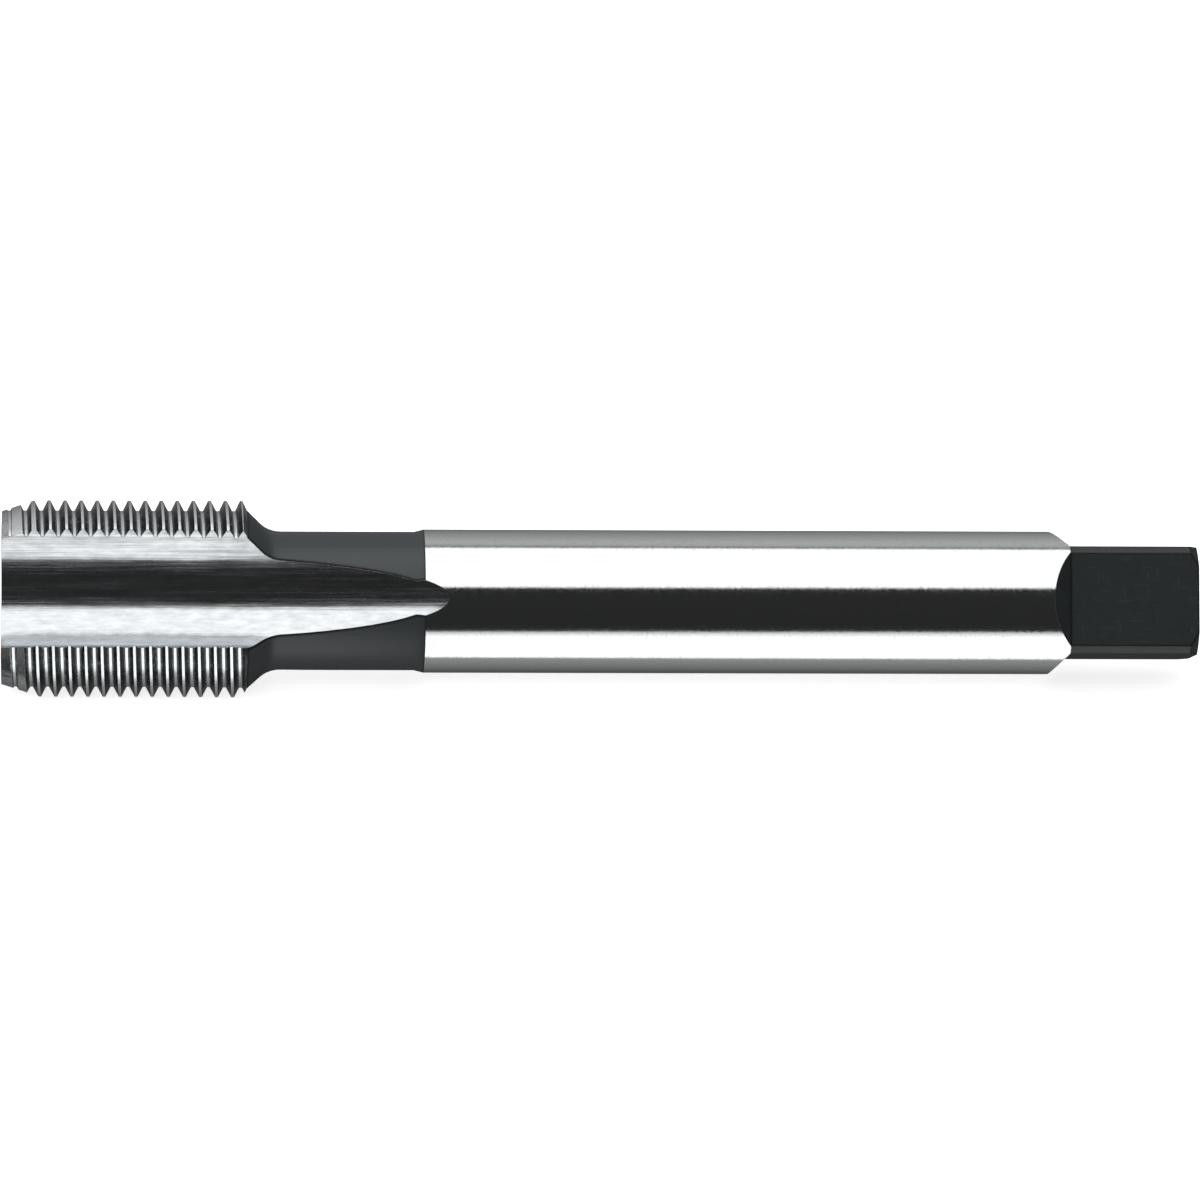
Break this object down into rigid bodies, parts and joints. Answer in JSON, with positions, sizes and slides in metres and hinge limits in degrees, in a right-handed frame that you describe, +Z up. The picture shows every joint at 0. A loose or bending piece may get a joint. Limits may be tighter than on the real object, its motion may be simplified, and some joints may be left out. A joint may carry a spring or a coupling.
{
  "type": "machine tap",
  "caption": "Straight-flute steel machine tap for parallel pipe thread, with a chamfered lead, a slim neck, a plain round shank and a square driving end.",
  "frame": {"origin": "on the tool's axis, halfway along the part of the shank that a holder grips", "axes": "+X along the axis from the cutting end towards the driving square, +Z up with the tool lying on two lands"},
  "size_m": [0.1001, 0.0166, 0.0151],
  "materials": {
    "ground_tool_steel": "ground bright"
  },
  "bodies": {
    "root": {"machine_tap": "ground_tool_steel"}
  },
  "joints": []
}
